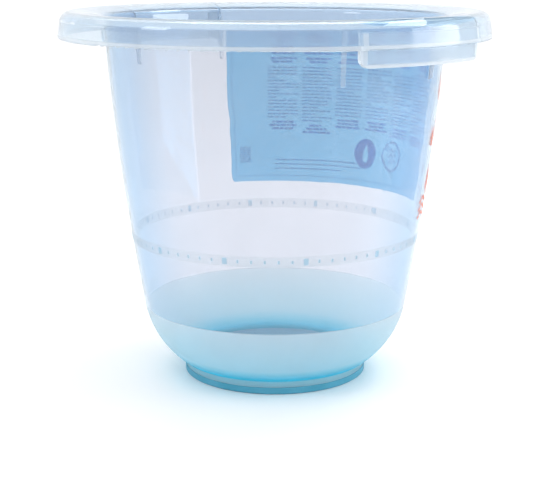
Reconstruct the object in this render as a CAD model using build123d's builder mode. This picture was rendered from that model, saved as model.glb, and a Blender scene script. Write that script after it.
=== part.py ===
"""Baby bath bucket: a translucent one-piece tub with two hand grips under its rim, a soft
anti-slip ring pressed onto its foot, and two adhesive label films on its outside wall.

Frame: millimetres, +Z up, origin on the floor under the tub's axis. The two grips lie on
the X axis, one at +X and one at -X.
"""
import os
from math import asin, cos, degrees, radians, sin

from build123d import *

os.makedirs("parts", exist_ok=True)

# ---- Driving dimensions ----
height = 380             # floor to the crest of the rim
wall_t = 3               # thickness of the moulding, the same everywhere

# The moulding's centre line as (radius, height), from the floor of the bowl to the rim
floor_z = 15
floor_r = 97.5
floor_blend_r = 14       # inside corner between floor and bowl
bowl_mid = (125.2, 44.6)
bowl_top = (137, 75.7)   # the round bowl ends here and the tall, nearly conical wall starts
wall_mid = (156.1, 200)
wall_top = (172.9, 369)

# Rim: a flange that rises outwards to a crest, a round shoulder and a skirt; 440 mm across
crest_r = 207.5
flange_arc_r = 103.5
flange_run = 30.5        # from the crest inwards to the lip of the opening
shoulder_arc_r = 9
skirt_z = 355
skirt_lean = 7.6         # degrees from the vertical

# Hand grips: a deeper skirt just inside the rim's, closed near each end by a radial web
grip_z = 338
grip_top_z = 372         # the grip's upper edge, inside the rim's shoulder
grip_r = 217             # outer radius of the deeper skirt
grip_width = 157
grip_corner_r = 9
web_angle = 20           # degrees either side of the X axis
web_t = 2.4
web_z = 339              # lower edge of each web
web_top_z = 374          # where a web meets the inside of the shoulder
web_slope = (6, 7)       # run and rise of the slope from the web's tail to its lower edge
tail_z = 318             # each web ends in a low rib that runs on down the wall
tail_t = 5               # how far that rib stands out from the wall's centre line
tail_end_r = 3
thumb_r = 30             # hollow of the long, shallow thumb rest on the grip's shoulder
thumb_depth = 1.5
thumb_tilt = 40          # degrees from the vertical
thumb_shift = 48         # moves the cutter's axis off the tub's, so that the rest's ends run out

# Foot and anti-slip ring
foot_r = 96
rib_inner_r, rib_outer_r = 88.5, 93.5
rib_z = 1.5
ring_inner_r, ring_outer_r = 86, 96.5
ring_h = 7
ring_edge_r = 1

# Label films: first angle, angle swept, lower and upper edge
film_t = 0.2
label_corner_r = 5
care_label_place = (57, 101, 176, 352)
print_label_place = (25, 30, 165, 330)


def radial_plane(angle):
    """The upright plane through the tub's axis at this angle: x runs outwards, y runs up."""
    a = radians(angle)
    return Plane(origin=(0, 0, 0), x_dir=(cos(a), sin(a), 0), z_dir=(sin(a), -cos(a), 0))


# ---- Centre line of the moulding, from the middle of the floor to the skirt's edge ----
crest = (crest_r, height - wall_t / 2)
with BuildLine() as centre_line:
    floor = Line((0, floor_z), (floor_r, floor_z))
    bowl = ThreePointArc(floor @ 1, bowl_mid, bowl_top)
    wall = ThreePointArc(bowl @ 1, wall_mid, wall_top)
    flange = JernArc(crest, (-1, 0), flange_arc_r, degrees(asin(flange_run / flange_arc_r)))
    lip = TangentArc(wall @ 1, flange @ 1, tangent=wall % 1)
    shoulder = JernArc(crest, (1, 0), shoulder_arc_r, skirt_lean - 90)
    skirt_length = ((shoulder @ 1).Y - skirt_z) / cos(radians(skirt_lean))
    skirt = Line(shoulder @ 1, shoulder @ 1 + (shoulder % 1) * skirt_length)


def wall_point(z):
    """A point on the wall's centre line, by its share of the way up: close to this height."""
    return wall.position_at((z - bowl_top[1]) / (wall_top[1] - bowl_top[1]))


# ---- Grip at +X: the deeper skirt, with round lower corners ----
with BuildPart() as grip:
    with BuildSketch(Plane.XZ):
        with Locations((grip_r, grip_z)):
            Rectangle(wall_t, grip_top_z - grip_z, align=(Align.MAX, Align.MIN))
    revolve(axis=Axis.Z)
    with BuildSketch(Plane.YZ):
        with Locations((0, grip_z)):
            outline = Rectangle(grip_width, height - grip_z, align=(Align.CENTER, Align.MIN))
        fillet(outline.vertices().group_by(Axis.Y)[0], grip_corner_r)
    extrude(amount=grip_r, mode=Mode.INTERSECT)

# ---- Web: the radial plate that closes one end of a grip, with a tail down the wall ----
tail_end = wall_point(tail_z)
tail_start = wall_point(web_z - web_slope[1])
with BuildSketch() as web:
    with BuildLine():
        Polyline(
            tail_end, tail_end + (tail_t, 0), tail_start + (tail_t, 0),
            tail_start + (tail_t + web_slope[0], web_slope[1]), (grip_r - wall_t / 2, web_z),
            (grip_r - wall_t / 2, web_top_z), crest, flange @ 1, wall @ 1, close=True,
        )
    make_face()
    fillet(web.vertices().sort_by_distance(tail_end + (tail_t, 0))[0], tail_end_r)

# ---- Tub shell: bowl, wall, rim, grips and foot in one moulding ----
with BuildPart() as tub_shell:
    with BuildSketch(Plane.XZ) as section:
        with BuildLine():
            add(centre_line.line)
            offset(amount=wall_t / 2, side=Side.BOTH, mode=Mode.REPLACE)
        make_face()
        Rectangle(height, height, align=(Align.MIN, Align.MIN), mode=Mode.INTERSECT)
        fillet(section.vertices().sort_by_distance((floor_r, floor_z + wall_t / 2))[0], floor_blend_r)
    revolve(axis=Axis.Z)

    # Foot: a collar under the bowl, and a rib that carries the anti-slip ring
    with BuildSketch(Plane.XZ):
        with BuildLine():
            Polyline(
                (rib_inner_r, floor_z), (rib_inner_r, rib_z), (rib_outer_r, rib_z),
                (rib_outer_r, ring_h), (foot_r, ring_h), (foot_r, floor_z), close=True,
            )
        make_face()
    revolve(axis=Axis.Z)

    for side in (0, 180):
        add(grip.part, rotation=(0, 0, side))
        for angle in (side - web_angle, side + web_angle):
            with BuildSketch(radial_plane(angle)):
                add(web.sketch)
            extrude(amount=web_t / 2, both=True)

    # Thumb rests: a large hollow tool grazes the shoulder over each grip
    reach = shoulder_arc_r + wall_t / 2 - thumb_depth + thumb_r
    for side in (-1, 1):
        with BuildSketch(Plane.XZ):
            with Locations(
                (
                    side * (crest_r + reach * sin(radians(thumb_tilt))),
                    height - wall_t / 2 - shoulder_arc_r + reach * cos(radians(thumb_tilt)),
                )
            ):
                Circle(thumb_r)
        revolve(axis=Axis((-side * thumb_shift, 0, 0), (0, 0, 1)), mode=Mode.SUBTRACT)

# ---- Anti-slip ring: a soft channel pressed over the rib of the foot ----
with BuildPart() as anti_slip_ring:
    with BuildSketch(Plane.XZ):
        with Locations((ring_inner_r, 0)):
            channel = Rectangle(ring_outer_r - ring_inner_r, ring_h, align=(Align.MIN, Align.MIN))
        fillet(channel.vertices().group_by(Axis.Y)[0], ring_edge_r)
        with Locations((rib_inner_r, rib_z)):
            Rectangle(rib_outer_r - rib_inner_r, ring_h, align=(Align.MIN, Align.MIN), mode=Mode.SUBTRACT)
    revolve(axis=Axis.Z)


def label_film(start_angle, sweep_angle, low, high):
    """A film bent round the outside of the wall, with rounded corners."""
    centre = wall.arc_center
    inner_r = wall.radius + wall_t / 2
    bottom = degrees(asin((low - centre.Y) / inner_r))
    top = degrees(asin((high - centre.Y) / inner_r))
    with BuildPart() as film:
        with BuildSketch(radial_plane(start_angle)):
            with BuildLine():
                inner = CenterArc((centre.X, centre.Y), inner_r, bottom, top - bottom)
                outer = CenterArc((centre.X, centre.Y), inner_r + film_t, bottom, top - bottom)
                Line(inner @ 0, outer @ 0)
                Line(inner @ 1, outer @ 1)
            make_face()
        revolve(axis=Axis.Z, revolution_arc=sweep_angle)
        fillet(film.edges().filter_by(GeomType.LINE), label_corner_r)
    return film


# ---- Labels: the blue care label, and the clear film with the coral print beside it ----
care_label = label_film(*care_label_place)
print_label = label_film(*print_label_place)

tub_shell.part.label = "tub_shell"
anti_slip_ring.part.label = "anti_slip_ring"
care_label.part.label = "care_label"
print_label.part.label = "print_label"

export_step(tub_shell.part, "parts/tub_shell.step")
export_step(anti_slip_ring.part, "parts/anti_slip_ring.step")
export_step(care_label.part, "parts/care_label.step")
export_step(print_label.part, "parts/print_label.step")
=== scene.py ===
"""Looks of the baby bath bucket: clear light-blue polypropylene, a frosted bowl, a soft teal
foot ring, and two label films on the outside of the wall. Lengths are in metres, and angles
round the wall in degrees from +X."""

import random
from math import atan2, cos, degrees, pi, radians, sin, tan
from types import SimpleNamespace

import bmesh
import bpy
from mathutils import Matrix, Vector


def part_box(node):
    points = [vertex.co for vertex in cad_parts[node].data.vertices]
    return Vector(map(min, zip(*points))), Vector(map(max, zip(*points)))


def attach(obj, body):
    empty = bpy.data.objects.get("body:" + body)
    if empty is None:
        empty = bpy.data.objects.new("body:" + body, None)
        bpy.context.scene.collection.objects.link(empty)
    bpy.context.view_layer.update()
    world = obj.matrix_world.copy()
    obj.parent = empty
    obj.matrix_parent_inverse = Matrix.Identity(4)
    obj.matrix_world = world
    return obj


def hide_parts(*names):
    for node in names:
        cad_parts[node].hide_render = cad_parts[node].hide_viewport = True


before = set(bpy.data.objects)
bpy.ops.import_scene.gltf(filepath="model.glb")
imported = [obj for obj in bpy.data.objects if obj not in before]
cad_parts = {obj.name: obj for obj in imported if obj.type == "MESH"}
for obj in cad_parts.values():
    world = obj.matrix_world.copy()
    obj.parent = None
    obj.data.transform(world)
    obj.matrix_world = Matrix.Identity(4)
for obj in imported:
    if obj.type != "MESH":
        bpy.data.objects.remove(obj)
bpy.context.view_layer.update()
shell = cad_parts["tub_shell"]
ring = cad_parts["anti_slip_ring"]

MM = 0.001

# ---------------------------------------------------------------- zones of the tub's plastic
FROST_TOP = 75.6 * MM           # the bowl's frosted surface ends here
BAND = (145.5 * MM, 156 * MM)   # frosted level band round the wall
SKIRT_HEM = 356.4 * MM          # just above the lower edge of the rim's skirt
WEB_ANGLE = radians(20)         # each grip's two webs stand this far either side of X

# The tool that hollows out a thumb rest is a ring round an axis that is shifted off the tub's
SHOULDER_R, SHOULDER_Z = 207.5 * MM, 369.5 * MM   # middle of the rim's round shoulder
THUMB_REACH = 39 * MM                             # from there to the middle of the tool
THUMB_TILT = radians(40)                          # from the vertical
THUMB_SHIFT = 48 * MM
THUMB_R = 30 * MM

# Where a zone's mask is 0 and where it is 1
FOOT_FADE = (22 * MM, 14 * MM)               # heights
FLOOR_Z_FADE = (30 * MM, 22 * MM)
NECK_Z_FADE = (346 * MM, 362 * MM)
GRIP_TOP_FADE = (371 * MM, 367 * MM)
GRIP_HEM_FADE = (342 * MM, 340 * MM)
GRIP_EDGE_TOP_FADE = (357 * MM, 354 * MM)
WEB_Z_FADE = (316.5 * MM, 317.5 * MM)
FLOOR_R_FADE = (90 * MM, 84 * MM)            # radii
RIM_R_FADE = (175 * MM, 182 * MM)
GRIP_R_FADE = (175 * MM, 180 * MM)
EDGE_R_FADE = (196 * MM, 200 * MM)
SKIRT_R_FADE = (209 * MM, 211 * MM)
WEB_R_FADE = (168 * MM, 170 * MM)
GRIP_SIDE_FADE = (81 * MM, 79 * MM)          # distances from the XZ plane
GRIP_END_FADE = (73.5 * MM, 76.5 * MM)
SKIRT_HEM_FADE = (1.9 * MM, 1.1 * MM)        # distance above or below SKIRT_HEM
WEB_FADE = (2.9 * MM, 2.3 * MM)              # distance from a web's middle plane
THUMB_FADE = (THUMB_R + 0.3 * MM, THUMB_R + 0.1 * MM)   # distance from the tool's middle line
FROST_EDGE = 0.4 * MM                        # half the width of the change at FROST_TOP
BAND_EDGE = 0.3 * MM                         # and at either side of BAND

TINT_TOP = 100 * MM             # the colour ramps by height run from the floor to here
RIM_BLUE = (0.88, 0.94, 0.985, 1)
RIM_MILK = (0.88, 0.94, 1.0, 1)
# Painted shade: a darker blue in the thumb rests' hollows
THUMB_PAINTED_SHADE = (0.62, 0.84, 0.97, 1)
# Painted shade: a darker blue on the wall just below the rim, and how deep it goes
NECK_PAINTED_SHADE = (0.66, 0.78, 0.90, 1)
NECK_SHADE_DEPTH = 0.8
# The floor disc's milk: paler than the foot's cyan, and lightened as painted light against the shade there
FLOOR_MILK_AND_PAINTED_LIGHT = (0.66, 0.91, 1.0, 1)
# Painted highlight: a near white for the edges of the grips, the skirt and the webs
EDGE_PAINTED_HIGHLIGHT = (0.97, 0.99, 1.0, 1)
WEB_LIGHT = 0.7                 # a web's light against that of the grips' and the skirt's edges
PLASTIC_IOR = 1.49
PLASTIC_COLOUR = (0.50, 0.76, 0.95, 1)
PLASTIC_DENSITY = 26.0          # how fast its colour deepens with thickness, per metre
CLOUD = (0.3, 0.7)              # the part of a noise's range that a finish varies over

FILM_PALER = 1.12               # a film's palest patches against its colour
FILM_UNEVEN = 0.04              # how far a film's cover swings either way

# What each zone adds to the share of milk in the plastic, and to the clear share's roughness. The edge
# share is part of a painted highlight.
MILK_SHARES = {"rim": 0.12, "frost": 0.48, "edge": 0.3, "foot": 0.35, "grip": 0.16, "band": 0.14}
ROUGHNESSES = {"frost": 0.22, "band": 0.2, "satin_rim": 0.035}
SATIN_SHARE = (0.5, 0.35)       # of the milk, where the tub is clear and where it is frosted


# ---------------------------------------------------------------- materials
class Nodes:
    """A small helper that adds nodes to a new material and links them by socket name."""

    def __init__(self, name):
        self.material = bpy.data.materials.new(name)
        self.material.use_nodes = True
        self.tree = self.material.node_tree
        self.tree.nodes.clear()
        self.output = self.tree.nodes.new("ShaderNodeOutputMaterial")

    def add(self, kind, **settings):
        node = self.tree.nodes.new("ShaderNode" + kind)
        for key, value in settings.items():
            if hasattr(node, key):
                setattr(node, key, value)
            else:
                self.plug(value, node.inputs[key.replace("_", " ")])
        return node

    def plug(self, value, socket):
        if isinstance(value, bpy.types.NodeSocket):
            self.tree.links.new(value, socket)
        else:
            socket.default_value = value

    def math(self, operation, a, b=0.0, clamp=False):
        node = self.add("Math", operation=operation, use_clamp=clamp)
        self.plug(a, node.inputs[0])
        self.plug(b, node.inputs[1])
        return node.outputs[0]

    def product(self, value, *factors):
        for factor in factors:
            value = self.math("MULTIPLY", value, factor)
        return value

    def total(self, value, *terms):
        for term in terms:
            value = self.math("ADD", value, term)
        return value

    def length(self, a, b):
        return self.math("SQRT", self.total(self.product(a, a), self.product(b, b)))

    def outside(self, mask):
        return self.math("SUBTRACT", 1.0, mask)

    def range(self, value, low, high, out_low=0.0, out_high=1.0, smooth=True):
        node = self.add("MapRange", interpolation_type="SMOOTHSTEP" if smooth else "LINEAR")
        for socket, number in zip(node.inputs, (value, low, high, out_low, out_high)):
            self.plug(number, socket)
        return node.outputs[0]

    def noise(self, scale, detail):
        return self.add("TexNoise", Scale=scale, Detail=detail, Vector=self.place()).outputs["Fac"]

    def place(self):
        return self.add("TexCoord").outputs["Object"]

    def ramp(self, value, *stops):
        """A colour ramp. Each stop is its position and its colour."""
        node = self.add("ValToRGB", Fac=value)
        first, last = node.color_ramp.elements
        first.position, first.color = stops[0]
        last.position, last.color = stops[-1]
        for position, colour in stops[1:-1]:
            node.color_ramp.elements.new(position).color = colour
        return node.outputs["Color"]

    def blend(self, mode, factor, a, b):
        node = self.add("Mix", data_type="RGBA", blend_type=mode)
        colour_a, colour_b = node.inputs[6], node.inputs[7]
        for socket, value in ((node.inputs["Factor"], factor), (colour_a, a), (colour_b, b)):
            self.plug(value, socket)
        return node.outputs[2]

    def mix_shaders(self, share, first, second):
        node = self.add("MixShader", Fac=share)
        self.plug(first.outputs[0], node.inputs[1])
        self.plug(second.outputs[0], node.inputs[2])
        return node

    def bump(self, height, strength, distance):
        return self.add("Bump", Height=height, Strength=strength, Distance=distance).outputs[0]

    def surface(self, shader):
        self.plug(shader.outputs[0], self.output.inputs["Surface"])
        return self.material


def tub_zones(m):
    """Masks from 0 to 1 that tell the regions of the one-piece tub apart, and where shade, light and
    highlights are painted.
    """
    place = m.add("SeparateXYZ", Vector=m.place()).outputs
    z = place["Z"]
    side_x = m.math("ABSOLUTE", place["X"])
    side_y = m.math("ABSOLUTE", place["Y"])
    radius = m.length(place["X"], place["Y"])

    frost = m.range(z, FROST_TOP + FROST_EDGE, FROST_TOP - FROST_EDGE)
    band = m.product(m.range(z, BAND[0] - BAND_EDGE, BAND[0] + BAND_EDGE),
                     m.range(z, BAND[1] + BAND_EDGE, BAND[1] - BAND_EDGE))
    rim = m.range(radius, *RIM_R_FADE)
    # Painted shade on the wall just below the rim
    neck_shade = m.product(m.range(z, *NECK_Z_FADE), m.outside(rim))
    grip = m.product(m.range(radius, *GRIP_R_FADE), m.range(z, *GRIP_TOP_FADE),
                     m.range(side_y, *GRIP_SIDE_FADE))

    # Thumb rests: inside the tool's round section. A darker blue is painted there as the hollow's shade.
    axis_distance = m.length(m.total(side_x, THUMB_SHIFT), place["Y"])
    away = m.math("SUBTRACT", axis_distance, SHOULDER_R + THUMB_REACH * sin(THUMB_TILT) + THUMB_SHIFT)
    above = m.math("SUBTRACT", z, SHOULDER_Z + THUMB_REACH * cos(THUMB_TILT))
    thumb = m.range(m.length(away, above), *THUMB_FADE)

    # Webs: close to their planes, from the tail on the wall up to the shoulder
    web_distance = m.math("SUBTRACT", m.product(side_y, cos(WEB_ANGLE)), m.product(side_x, sin(WEB_ANGLE)))
    web_height = m.product(m.range(z, *WEB_Z_FADE), m.range(z, *GRIP_TOP_FADE))
    web = m.product(m.range(m.math("ABSOLUTE", web_distance), *WEB_FADE), web_height,
                    m.range(radius, *WEB_R_FADE))

    # Painted highlights: the ends and the lower edge of each grip, the skirt's lower edge, and the webs
    grip_edge = m.math("MAXIMUM", m.range(side_y, *GRIP_END_FADE), m.range(z, *GRIP_HEM_FADE))
    grip_edge = m.product(grip_edge, m.range(z, *GRIP_EDGE_TOP_FADE))
    hem_distance = m.math("ABSOLUTE", m.math("SUBTRACT", z, SKIRT_HEM))
    skirt_hem = m.product(m.range(hem_distance, *SKIRT_HEM_FADE), m.range(radius, *SKIRT_R_FADE))
    edge = m.product(m.math("MAXIMUM", grip_edge, skirt_hem), m.range(radius, *EDGE_R_FADE))

    edge = m.math("MAXIMUM", edge, m.product(web, WEB_LIGHT))

    return SimpleNamespace(
        frost=frost, band=band, rim=rim, neck_shade=neck_shade, grip=grip, thumb=thumb, edge=edge,
        foot=m.range(z, *FOOT_FADE),
        # floor: the floor disc, where the milk is lightened as painted light
        floor=m.product(m.range(radius, *FLOOR_R_FADE), m.range(z, *FLOOR_Z_FADE)),
        wall=m.product(m.outside(rim), m.outside(frost)),
        satin_rim=m.math("SUBTRACT", rim, thumb, clamp=True),
        rise=m.range(z, 0, TINT_TOP, smooth=False),
    )


def weigh(m, zones, weights):
    """The zones' masks, each times its weight, added up."""
    return m.total(*[m.product(getattr(zones, name), weight) for name, weight in weights.items()])


def clear_tint(m, zones):
    """Tint of the clear share. The wall's is deeper where it is seen along its surface."""
    facing = m.add("LayerWeight", Blend=0.5).outputs["Facing"]
    wall_tint = m.ramp(facing, (0.1, (0.835, 0.83, 0.865, 1)), (0.3, (0.82, 0.845, 0.90, 1)),
                       (0.7, (0.50, 0.70, 0.88, 1)))
    tint = m.ramp(zones.rise, (0.0, (0.40, 0.78, 0.90, 1)), (0.16, (0.25, 0.80, 0.94, 1)),
                  (0.30, (0.88, 0.98, 1.0, 1)), (0.76, (1.0, 1.0, 1.0, 1)))
    tint = m.blend("MULTIPLY", zones.wall, tint, wall_tint)
    tint = m.blend("MULTIPLY", zones.rim, tint, RIM_BLUE)
    # Painted shade in the thumb rests' hollows
    tint = m.blend("MULTIPLY", zones.thumb, tint, THUMB_PAINTED_SHADE)
    # Painted shade: the wall just below the rim is tinted darker
    return m.blend("MULTIPLY", m.product(zones.neck_shade, NECK_SHADE_DEPTH), tint, NECK_PAINTED_SHADE)


def milk_colour(m, zones):
    """Colour of the share of the plastic that scatters light."""
    milk = m.ramp(zones.rise, (0.0, (0.62, 0.90, 0.97, 1)), (0.125, (0.66, 0.96, 0.99, 1)),
                  (0.16, (0.12, 0.80, 0.98, 1)), (0.30, (0.64, 0.92, 1.0, 1)),
                  (0.74, (0.86, 0.96, 1.0, 1)), (0.78, (0.95, 0.98, 1.0, 1)))
    # The floor disc's milk: paler than the foot's cyan, and lightened as painted light
    milk = m.blend("MIX", zones.floor, milk, FLOOR_MILK_AND_PAINTED_LIGHT)
    milk = m.blend("MULTIPLY", zones.rim, milk, RIM_MILK)
    # Painted shade in the thumb rests' hollows
    milk = m.blend("MULTIPLY", zones.thumb, milk, THUMB_PAINTED_SHADE)
    # Painted highlight on the edges of the grips, the skirt and the webs
    milk = m.blend("MIX", zones.edge, milk, EDGE_PAINTED_HIGHLIGHT)
    # Painted shade: the wall just below the rim is tinted darker
    return m.blend("MULTIPLY", m.product(zones.neck_shade, NECK_SHADE_DEPTH), milk, NECK_PAINTED_SHADE)


def tub_relief(m, zones):
    """Slow waves from the moulding everywhere, and a fine grain where the surface is frosted."""
    waves = m.product(m.noise(scale=5, detail=0), 0.06)
    grain = m.product(m.noise(scale=900, detail=2), m.total(m.product(zones.frost, 0.05), 0.0001))
    return m.bump(m.total(waves, grain), strength=0.25, distance=2 * MM)


def tub_plastic():
    """Clear plastic with a milky share on the rim and grips, and frosted below the kink."""
    m = Nodes("tub_plastic")
    zones = tub_zones(m)
    relief = tub_relief(m, zones)
    cloud = m.noise(scale=22, detail=4)

    rough = m.total(weigh(m, zones, ROUGHNESSES), m.range(cloud, *CLOUD, 0.001, 0.007))
    clear = m.add("BsdfPrincipled", Base_Color=clear_tint(m, zones), Roughness=rough, IOR=PLASTIC_IOR,
                  Transmission_Weight=1.0, Normal=relief)

    colour = milk_colour(m, zones)
    glow = m.add("BsdfTranslucent", Color=colour, Normal=relief)
    satin = m.add("BsdfPrincipled", Base_Color=colour, Roughness=m.range(cloud, *CLOUD, 0.16, 0.24),
                  Normal=relief)
    milk = m.mix_shaders(m.range(zones.frost, 0, 1, *SATIN_SHARE), glow, satin)

    share = m.total(weigh(m, zones, MILK_SHARES), m.range(cloud, *CLOUD, 0.05, 0.07))
    absorb = m.add("VolumeAbsorption", Color=PLASTIC_COLOUR, Density=PLASTIC_DENSITY)
    m.plug(absorb.outputs[0], m.output.inputs["Volume"])
    return m.surface(m.mix_shaders(share, clear, milk))


def ring_rubber():
    m = Nodes("ring_rubber")
    grain = m.noise(scale=1500, detail=3)
    cloud = m.noise(scale=40, detail=3)
    colour = m.ramp(cloud, (0.3, (0.06, 0.38, 0.54, 1)), (0.7, (0.10, 0.44, 0.62, 1)))
    relief = m.bump(grain, strength=0.2, distance=0.3 * MM)
    rubber = m.add("BsdfPrincipled", Base_Color=colour, Roughness=m.range(grain, *CLOUD, 0.42, 0.6),
                   Transmission_Weight=0.25, IOR=1.5, Normal=relief)
    return m.surface(rubber)


def film(name, colour, cover):
    """A printed film: part of the light goes straight through its tint, and its cover scatters the
    rest."""
    m = Nodes(name)
    cloud = m.noise(scale=30, detail=4)
    relief = m.bump(m.noise(scale=60, detail=2), strength=0.15, distance=0.2 * MM)
    pale = [min(1, channel * FILM_PALER) for channel in colour]
    tint = m.ramp(cloud, (0.3, (*colour, 1)), (0.75, (*pale, 1)))
    through = m.add("BsdfTransparent", Color=tint)
    gloss = m.add("BsdfPrincipled", Base_Color=tint, Roughness=m.range(cloud, *CLOUD, 0.18, 0.32),
                  IOR=1.45, Normal=relief)
    glow = m.add("BsdfTranslucent", Color=tint)
    share = m.range(cloud, 0.2, 0.8, cover - FILM_UNEVEN, cover + FILM_UNEVEN)
    return m.surface(m.mix_shaders(share, through, m.mix_shaders(0.5, gloss, glow)))


def studio_floor():
    m = Nodes("studio_floor")
    cloud = m.noise(scale=3, detail=2)
    colour = m.ramp(cloud, (0.3, (0.965, 0.965, 0.97, 1)), (0.7, (0.98, 0.98, 0.98, 1)))
    return m.surface(m.add("BsdfPrincipled", Base_Color=colour, Roughness=0.55))


# ---------------------------------------------------------------- laying pieces on the wall
FILM_LIFT = 0.3 * MM       # films and print stand a little off the wall, each layer over the last
INK_LIFT = 0.55 * MM
BOLD_LIFT = 0.6 * MM
MARK_LIFT = 0.25 * MM
WALL_R = 165 * MM          # mean radius of the labelled wall, turns lengths along it into angles
CLEAR_OF_WALL = 195 * MM   # a radius outside the wall and inside the grips
WORD_LENGTH = (2.2, 8.5)   # shortest and longest, in millimetres
WORD_GAP = 1.1 * MM
WORD_LEAST = 2 * MM        # no word starts nearer than this to its line's end
WORD_BEND = 1.5            # degrees, about what one flat piece of a word spans


def along(length):
    return degrees(length / WALL_R)


def on_wall(angle, z, lift):
    """The point that stands this far off the outside of the wall, at this angle and height."""
    out = Vector((cos(radians(angle)), sin(radians(angle)), 0))
    start = out * CLEAR_OF_WALL + Vector((0, 0, z))
    _, place, _, _ = shell.ray_cast(start, -out)
    return place + out * lift


def beside(centre, u, v):
    """The place (angle, height) that lies u along the wall and v up from this one."""
    return centre[0] + along(u), centre[1] + v


class Print:
    """Shapes laid on the wall as one piece, which stands off it by its lift. A place is an angle
    and a height."""

    def __init__(self, name, lift):
        self.bm = bmesh.new()
        self.name, self.lift = name, lift

    def points(self, places):
        return [self.bm.verts.new(on_wall(*place, self.lift)) for place in places]

    def faces_between(self, lower, upper):
        for i in range(len(lower) - 1):
            self.bm.faces.new((lower[i], lower[i + 1], upper[i + 1], upper[i]))

    def row(self, left, right, z, columns):
        """Points evenly spaced from one angle to another at one height."""
        return self.points((left + (right - left) * i / columns, z) for i in range(columns + 1))

    def faces_through(self, rows):
        for lower, upper in zip(rows, rows[1:]):
            self.faces_between(lower, upper)

    def sheet(self, a0, a1, z0, z1, columns=1, rows=1):
        heights = [z0 + (z1 - z0) * j / rows for j in range(rows + 1)]
        self.faces_through([self.row(a0, a1, z, columns) for z in heights])

    def rounded_sheet(self, a0, a1, z0, z1, radius, columns, rows, corner_rows=6):
        """A sheet with rounded corners: its rows near both ends draw in."""
        ends = [radius * (1 - cos(pi / 2 * k / corner_rows)) for k in range(corner_rows)]
        heights = [z0 + end for end in ends]
        heights += [z0 + radius + (z1 - z0 - 2 * radius) * k / rows for k in range(rows + 1)]
        heights += [z1 - end for end in reversed(ends)]
        grid = []
        for z in heights:
            edge = min(z - z0, z1 - z)
            inset = radius - (radius**2 - (radius - edge) ** 2) ** 0.5 if edge < radius else 0
            grid.append(self.row(a0 + along(inset), a1 - along(inset), z, columns))
        self.faces_through(grid)

    def band(self, inner, outer, closed):
        """Faces between two outlines with the same number of places."""
        a, b = self.points(inner), self.points(outer)
        if closed:
            a.append(a[0])
            b.append(b[0])
        self.faces_between(a, b)

    def fan(self, centre, outline):
        middle = self.points([centre])[0]
        edge = self.points(outline)
        for i in range(len(edge)):
            self.bm.faces.new((middle, edge[i], edge[(i + 1) % len(edge)]))

    def wave(self, centre, height, half_width, step, swing, turn, thickness):
        """A wavy stripe. Lengths are in millimetres, and turn is in radians per millimetre."""
        steps = range(-half_width, half_width + 1, step)
        lower = [beside(centre, u * MM, (height + swing * sin(u * turn)) * MM) for u in steps]
        self.band(lower, [(angle, z + thickness * MM) for angle, z in lower], closed=False)

    def words(self, rng, left, right, z, height, centred=False, fill=1.0):
        """One line of print as plain dashes, read from high angles to low, as from outside."""
        width = (left - right) * fill
        start = left - (left - right - width) / 2 if centred else left
        end = start - width
        while start > end + along(WORD_LEAST):
            stop = max(end, start - along(rng.uniform(*WORD_LENGTH) * MM))
            self.sheet(stop, start, z, z + height, columns=max(1, round((start - stop) / WORD_BEND)))
            start = stop - along(WORD_GAP)

    def finish(self, material):
        mesh = bpy.data.meshes.new(self.name)
        self.bm.to_mesh(mesh)
        self.bm.free()
        for face in mesh.polygons:
            face.use_smooth = True
        obj = bpy.data.objects.new(self.name, mesh)
        bpy.context.scene.collection.objects.link(obj)
        obj.data.materials.append(material)
        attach(obj, "root")
        return obj


def circle(centre, radius, count=40):
    turns = [2 * pi * k / count for k in range(count)]
    return [beside(centre, radius * cos(t), radius * sin(t)) for t in turns]


def drop(centre, size, count=40):
    """Outline of a drop with its tip up."""
    turns = [2 * pi * k / count for k in range(count)]
    return [beside(centre, size * 0.62 * sin(t) * sin(t / 2) ** 1.2, size * cos(t)) for t in turns]


def label_box(node):
    """First and last angle, lowest and highest point of a label's CAD film."""
    angles = [degrees(atan2(v.co.y, v.co.x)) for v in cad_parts[node].data.vertices]
    low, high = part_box(node)
    return min(angles), max(angles), low.z, high.z


# ---------------------------------------------------------------- care label
LABEL_CORNER_R = 5 * MM
COLUMNS = 6
COLUMN_PITCH, COLUMN_WIDTH, NARROWEST_COLUMN = 13.9, 12.6, 3    # degrees
LEFT_MARGIN, RIGHT_MARGIN = 16.5, 2                             # degrees
TOP_MARGIN = 9 * MM
LINE_PITCH = 3.8 * MM
BLOCK_GAP = 2.2 * MM
BODY_HEIGHT = 1.35 * MM
HEADING_HEIGHT = 2.3 * MM
SHORT_LINE_CHANCE = 0.22

rng = random.Random(7)
a0, a1, z0, z1 = label_box("care_label")
care = Print("care_label_film", FILM_LIFT)
care.rounded_sheet(a0, a1, z0, z1, LABEL_CORNER_R, columns=60, rows=24)
care_obj = care.finish(film("care_film", (0.19, 0.58, 0.86), 0.36))
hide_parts("care_label")

ink = Print("care_label_print", INK_LIFT)
bold = Print("care_label_headings", BOLD_LIFT)


def heading(left, right, z):
    bold.words(rng, left, right, z, HEADING_HEIGHT, centred=True, fill=rng.uniform(0.5, 0.95))


def body_line(left, right, z):
    """A full line, or now and then the short last line of a paragraph."""
    short = rng.random() < SHORT_LINE_CHANCE
    fill = rng.uniform(0.2, 0.75) if short else rng.uniform(0.93, 1)
    ink.words(rng, left, right, z, BODY_HEIGHT, fill=fill)


first_column = a1 - LEFT_MARGIN
for column in range(COLUMNS):
    left = first_column - column * COLUMN_PITCH
    right = max(left - COLUMN_WIDTH, a0 + RIGHT_MARGIN)
    if left - right < NARROWEST_COLUMN:
        continue
    z = z1 - TOP_MARGIN
    body = (rng.choice((15, 16, 17)), body_line)
    for lines, print_line in ((3, heading), (3, heading), (2, heading), body, (3, heading)):
        for _ in range(lines):
            print_line(left, right, z)
            z -= LINE_PITCH
        z -= BLOCK_GAP

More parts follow.
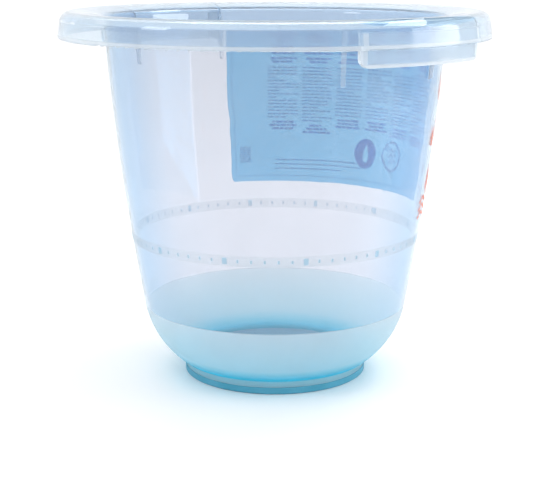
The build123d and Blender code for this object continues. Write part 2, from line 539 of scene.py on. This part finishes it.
# Three long lines near the lower edge, the last of them shorter
LONG_LINES_START, LONG_LINES_END = first_column - 3, first_column - 42
LONG_LINES_TOP, LONG_LINE_PITCH, LONG_LINE_HEIGHT = 24 * MM, 5 * MM, 1.2 * MM
for k, fill in enumerate((1, 1, 0.75)):
    z = z0 + LONG_LINES_TOP - k * LONG_LINE_PITCH
    ink.words(rng, LONG_LINES_START, LONG_LINES_END, z, LONG_LINE_HEIGHT, fill=fill)

# A block of bars
BARS_START, BARS_END = a1 - 4.2, a1 - 9
BARS, BARS_BOTTOM, BAR_PITCH, BAR_HEIGHT = 9, 22 * MM, 2.1 * MM, 0.9 * MM
for k in range(BARS):
    z = z0 + BARS_BOTTOM + k * BAR_PITCH
    ink.sheet(BARS_END, BARS_START, z, z + BAR_HEIGHT, columns=4)

# Two sides of a thin border: the lower one, and the one near the label's last angle
BORDER_INSET, BORDER_WIDTH = 6 * MM, 0.5 * MM
border_low, border_high = z0 + BORDER_INSET, z1 - BORDER_INSET
border_end = a1 - along(BORDER_INSET)
ink.sheet(a0 + along(BORDER_INSET), border_end, border_low, border_low + BORDER_WIDTH, columns=60)
ink.sheet(border_end - along(BORDER_WIDTH), border_end, border_low, border_high, rows=20)

# A disc with a drop cut out, and a ring round three waves
SIGN_R = 17 * MM
SIGN_DROP = 10 * MM
RING_WIDTH = 2.2 * MM
disc = (97.7, z0 + 37 * MM)
sign = (83.2, z0 + 38 * MM)
disc_rim = circle(disc, SIGN_R)
quarter = len(disc_rim) // 4     # a drop's outline starts at its tip and turns the other way
disc_rim = [disc_rim[quarter - k] for k in range(len(disc_rim))]
bold.band(drop(disc, SIGN_DROP), disc_rim, closed=True)
ink.band(circle(sign, SIGN_R - RING_WIDTH), circle(sign, SIGN_R), closed=True)
for height in (-6, 0, 6):
    ink.wave(sign, height, half_width=9, step=1, swing=1.6, turn=0.75, thickness=1.8)

ink.finish(film("care_ink", (0.0, 0.36, 0.66), 0.9))
bold.finish(film("care_bold_ink", (0.0, 0.38, 0.76), 0.98))

# ---------------------------------------------------------------- print label: clear, with coral shapes
b0, b1, y0, y1 = label_box("print_label")
clear_film = Print("print_label_film", FILM_LIFT)
clear_film.rounded_sheet(b0, b1, y0, y1, LABEL_CORNER_R, columns=20, rows=24)
print_obj = clear_film.finish(film("print_film", (0.93, 0.97, 1.0), 0.12))
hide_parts("print_label")

# Five drops over three waves. A drop has its place across and up the film, and its size, in MM
DROPS = ((0, 140, 15), (-20, 92, 11), (16, 96, 13), (24, 52, 10), (-8, 48, 15))
coral = Print("print_label_shapes", INK_LIFT)
base = ((b0 + b1) / 2, y0)
for across, up, size in DROPS:
    centre = beside(base, across * MM, up * MM)
    coral.fan(centre, drop(centre, size * MM))
for height in (10, 18, 26):
    coral.wave(base, height, half_width=36, step=2, swing=2.5, turn=0.22, thickness=3)
coral.finish(film("coral_ink", (0.95, 0.30, 0.20), 0.85))

# ---------------------------------------------------------------- level band marks
MARKS, TALL_EVERY = 72, 6
TALL_MARK = (0.9, 2 * MM)       # half its width in degrees, then its margin above and below
SHORT_MARK = (0.35, 3.6 * MM)
marks = Print("level_marks", MARK_LIFT)
for k in range(MARKS):
    angle = 360 / MARKS * k
    half_width, margin = TALL_MARK if k % TALL_EVERY == 0 else SHORT_MARK
    marks.sheet(angle - half_width, angle + half_width, BAND[0] + margin, BAND[1] - margin, columns=2)
marks.finish(film("level_ink", (0.62, 0.80, 0.90), 0.5))

# ---------------------------------------------------------------- CAD nodes
for node, material in ((shell, tub_plastic()), (ring, ring_rubber())):
    node.data.materials.clear()
    node.data.materials.append(material)

# ---------------------------------------------------------------- floor, light and camera
FLOOR_SIZE = 12
FLOOR_DROP = 0.2 * MM   # keeps the floor and the ring's underside apart
bpy.ops.mesh.primitive_plane_add(size=FLOOR_SIZE)
floor = bpy.context.object
floor.name = "studio_floor"
floor.location.z = -FLOOR_DROP
floor.data.materials.append(studio_floor())

world = bpy.data.worlds.new("studio")
bpy.context.scene.world = world
world.use_nodes = True
backdrop = world.node_tree.nodes["Background"].inputs
backdrop["Color"].default_value = (0.985, 0.99, 1.0, 1)
backdrop["Strength"].default_value = 1.12

VIEW_ANGLE = -41.3           # the camera stands at this angle round the tub
DISTANCE, HEIGHT = 1.3463, 0.4409
PITCH = radians(13.10)       # it looks down by this much
FOCAL, FRAME = 1298.5, 550   # focal length and frame width, both in the picture's pixels
SENSOR = 36


def round_tub(angle, distance, height):
    """A place at this angle from the camera's side of the tub."""
    a = radians(VIEW_ANGLE + angle)
    return Vector((distance * cos(a), distance * sin(a), height))


def look_at(obj, target):
    obj.rotation_euler = (target - obj.location).to_track_quat("-Z", "Y").to_euler()


def softbox(name, angle, distance, height, size, power, aim=0.2):
    light = bpy.data.lights.new(name, "AREA")
    light.shape = "RECTANGLE"
    light.size, light.size_y = size
    light.energy = power
    obj = bpy.data.objects.new(name, light)
    obj.location = round_tub(angle, distance, height)
    look_at(obj, Vector((0, 0, aim)))
    bpy.context.scene.collection.objects.link(obj)


softbox("key_window", angle=-62, distance=1.6, height=1.0, size=(0.4, 0.5), power=3.5)
softbox("back_box", angle=128, distance=1.35, height=1.95, size=(0.9, 0.45), power=7)
softbox("side_box", angle=86, distance=1.5, height=0.5, size=(0.9, 0.5), power=7, aim=0.3)
softbox("top_box", angle=180, distance=1.2, height=1.9, size=(1.2, 0.8), power=2.5)

camera = bpy.data.objects.new("camera", bpy.data.cameras.new("camera"))
bpy.context.scene.collection.objects.link(camera)
bpy.context.scene.camera = camera
camera.location = round_tub(0, DISTANCE, HEIGHT)
look_at(camera, Vector((0, 0, HEIGHT - DISTANCE * tan(PITCH))))
camera.data.sensor_width = SENSOR
camera.data.lens = SENSOR * FOCAL / FRAME
bpy.context.scene.view_settings.view_transform = "Standard"
